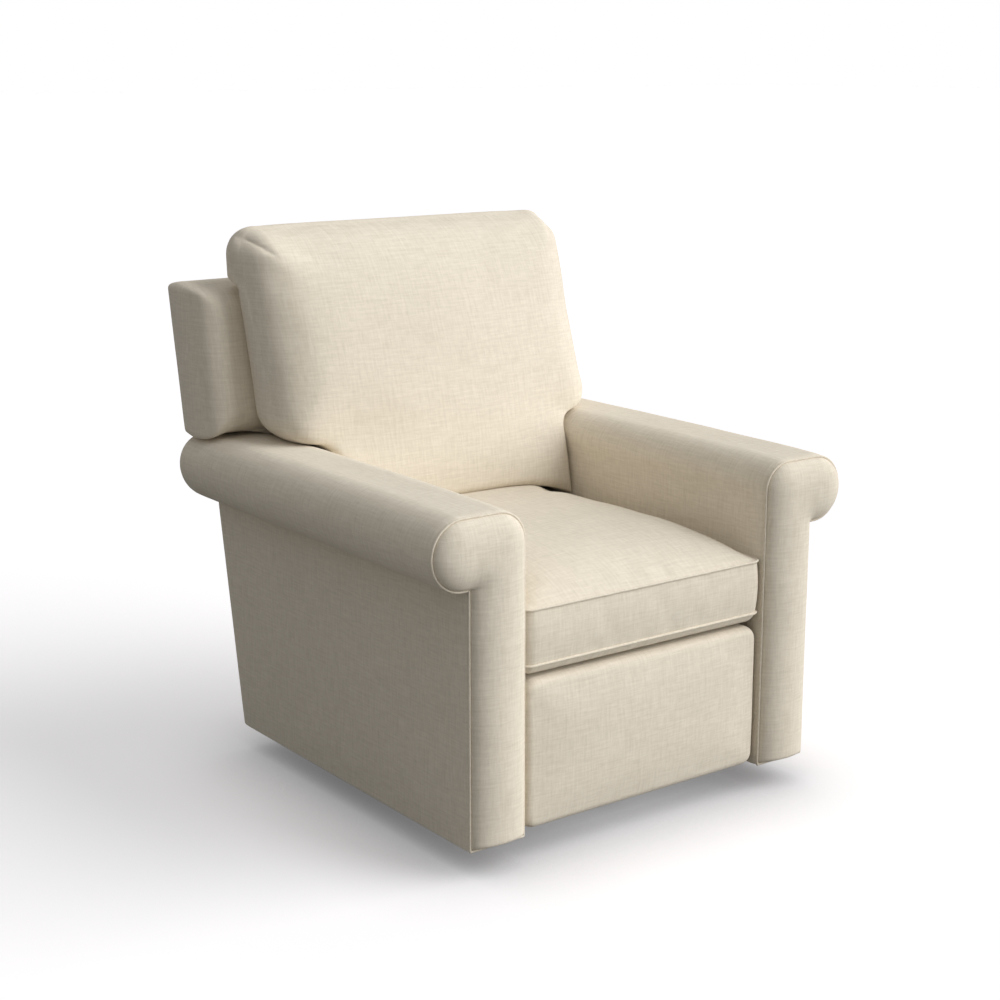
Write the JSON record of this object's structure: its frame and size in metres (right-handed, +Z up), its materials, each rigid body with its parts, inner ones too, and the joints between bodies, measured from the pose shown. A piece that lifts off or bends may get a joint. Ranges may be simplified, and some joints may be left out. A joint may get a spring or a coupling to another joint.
{
  "type": "swivel glider recliner armchair",
  "caption": "Upholstered nursery armchair with rolled arms and a loose-look back pillow; it swivels, glides, reclines and opens a footrest on a hidden round base.",
  "frame": {"origin": "on the floor at the swivel axis, under the middle of the chair's plan", "axes": "+Z up, -Y towards the front of the chair, +X to its left arm as the sitter sees it"},
  "size_m": [0.876, 0.891, 0.976],
  "materials": {
    "upholstery_linen": "cream cross-hatch linen weave",
    "welt_linen": "self welt cord in the same linen",
    "frame_wood": "unfinished hardwood and plywood",
    "ring_wood": "dark brown satin lacquer",
    "mechanism_steel": "satin black powder coat",
    "zinc_steel": "zinc plated",
    "glide_plastic": "matt",
    "deck_cloth": "black woven platform cloth"
  },
  "bodies": {
    "base": {"base_ring": "ring_wood", "floor_glides": "glide_plastic", "base_spider": "mechanism_steel", "spider_screws": "zinc_steel", "bearing_lower_race": "zinc_steel", "bearing_balls": "zinc_steel", "swivel_bolt": "zinc_steel", "swivel_nut": "zinc_steel"},
    "turntable": {"bearing_upper_race": "zinc_steel", "turntable_plate": "mechanism_steel", "turntable_tubes": "mechanism_steel", "glide_posts": "mechanism_steel", "upper_link_pins": "zinc_steel"},
    "front_glide_links": {"glide_links_front": "mechanism_steel"},
    "rear_glide_links": {"glide_links_rear": "mechanism_steel"},
    "carriage": {"lower_link_pins": "zinc_steel", "glide_rails": "mechanism_steel", "glide_risers": "mechanism_steel", "cross_tubes": "mechanism_steel", "side_plate_left": "mechanism_steel", "side_plate_right": "mechanism_steel", "mechanism_pins": "zinc_steel", "back_hinge_pins": "zinc_steel", "seat_front_rail": "frame_wood", "seat_rear_rail": "frame_wood", "seat_side_rails": "frame_wood", "sinuous_springs": "zinc_steel", "deck_pad": "deck_cloth", "seat_cushion": "upholstery_linen", "seat_welt_upper": "welt_linen", "seat_welt_lower": "welt_linen", "arm_frame_left": "frame_wood", "arm_frame_right": "frame_wood", "arm_upholstery_left": "upholstery_linen", "arm_upholstery_right": "upholstery_linen", "arm_facing_left": "upholstery_linen", "arm_facing_right": "upholstery_linen", "arm_welt_left": "welt_linen", "arm_welt_right": "welt_linen", "arm_bolts": "zinc_steel", "rear_panel": "upholstery_linen"},
    "main_links": {"main_links": "mechanism_steel", "main_link_pins": "zinc_steel"},
    "fore_links": {"fore_links": "mechanism_steel", "fore_link_pins": "zinc_steel"},
    "lower_control": {"lower_control_links": "mechanism_steel", "control_brace": "mechanism_steel"},
    "upper_control": {"upper_control_links": "mechanism_steel", "upper_control_pins": "zinc_steel"},
    "footrest": {"footrest_pad": "upholstery_linen", "footrest_board": "frame_wood", "footrest_brackets": "mechanism_steel"},
    "back": {"back_frame": "frame_wood", "back_brackets": "mechanism_steel", "back_upholstery": "upholstery_linen", "back_cushion": "upholstery_linen"}
  },
  "joints": [
    {"name": "swivel", "type": "hinge", "parent": "base", "child": "turntable", "pos_m": [0, 0, 0.047], "axis": [0, 0, 1], "continuous": true},
    {"name": "glide", "type": "hinge", "parent": "turntable", "child": "front_glide_links", "pos_m": [0, -0.12, 0.215], "axis": [1, 0, 0], "range_deg": [-27, 27]},
    {"name": "carriage_level", "type": "hinge", "parent": "front_glide_links", "child": "carriage", "pos_m": [0, -0.12, 0.1], "axis": [1, 0, 0], "range_deg": [-27.5, 27.5]},
    {"name": "rear_link_swing", "type": "hinge", "parent": "turntable", "child": "rear_glide_links", "pos_m": [0, 0.12, 0.215], "axis": [1, 0, 0], "range_deg": [-27.5, 27.5]},
    {"name": "back_recline", "type": "hinge", "parent": "carriage", "child": "back", "pos_m": [0, 0.30952, 0.285], "axis": [-1, 0, 0], "range_deg": [0, 30]},
    {"name": "footrest_lift", "type": "hinge", "parent": "carriage", "child": "main_links", "pos_m": [0, -0.2429, 0.2299], "axis": [-1, 0, 0], "range_deg": [0, 88]},
    {"name": "fore_link_fold", "type": "hinge", "parent": "main_links", "child": "fore_links", "pos_m": [0, -0.2992, 0.0695], "axis": [1, 0, 0], "range_deg": [-0.5, 154.64]},
    {"name": "footrest_tilt", "type": "hinge", "parent": "fore_links", "child": "footrest", "pos_m": [0, -0.352, 0.2442], "axis": [-1, 0, 0], "range_deg": [-0.5, 155.23]},
    {"name": "lower_control_swing", "type": "hinge", "parent": "carriage", "child": "lower_control", "pos_m": [0, -0.1623, 0.2749], "axis": [-1, 0, 0], "range_deg": [-0.5, 71.45]},
    {"name": "upper_control_swing", "type": "hinge", "parent": "main_links", "child": "upper_control", "pos_m": [0, -0.2743, 0.087], "axis": [1, 0, 0], "range_deg": [-0.5, 154.55]}
  ],
  "couplings": [
    {"joint": "carriage_level", "follows": "glide", "ratio": -1},
    {"joint": "rear_link_swing", "follows": "glide", "ratio": 1},
    {"joint": "fore_link_fold", "follows": "footrest_lift", "ratio": 1.7516},
    {"joint": "footrest_tilt", "follows": "footrest_lift", "ratio": 1.7583},
    {"joint": "lower_control_swing", "follows": "footrest_lift", "ratio": 0.80626},
    {"joint": "upper_control_swing", "follows": "footrest_lift", "ratio": 1.7506}
  ]
}
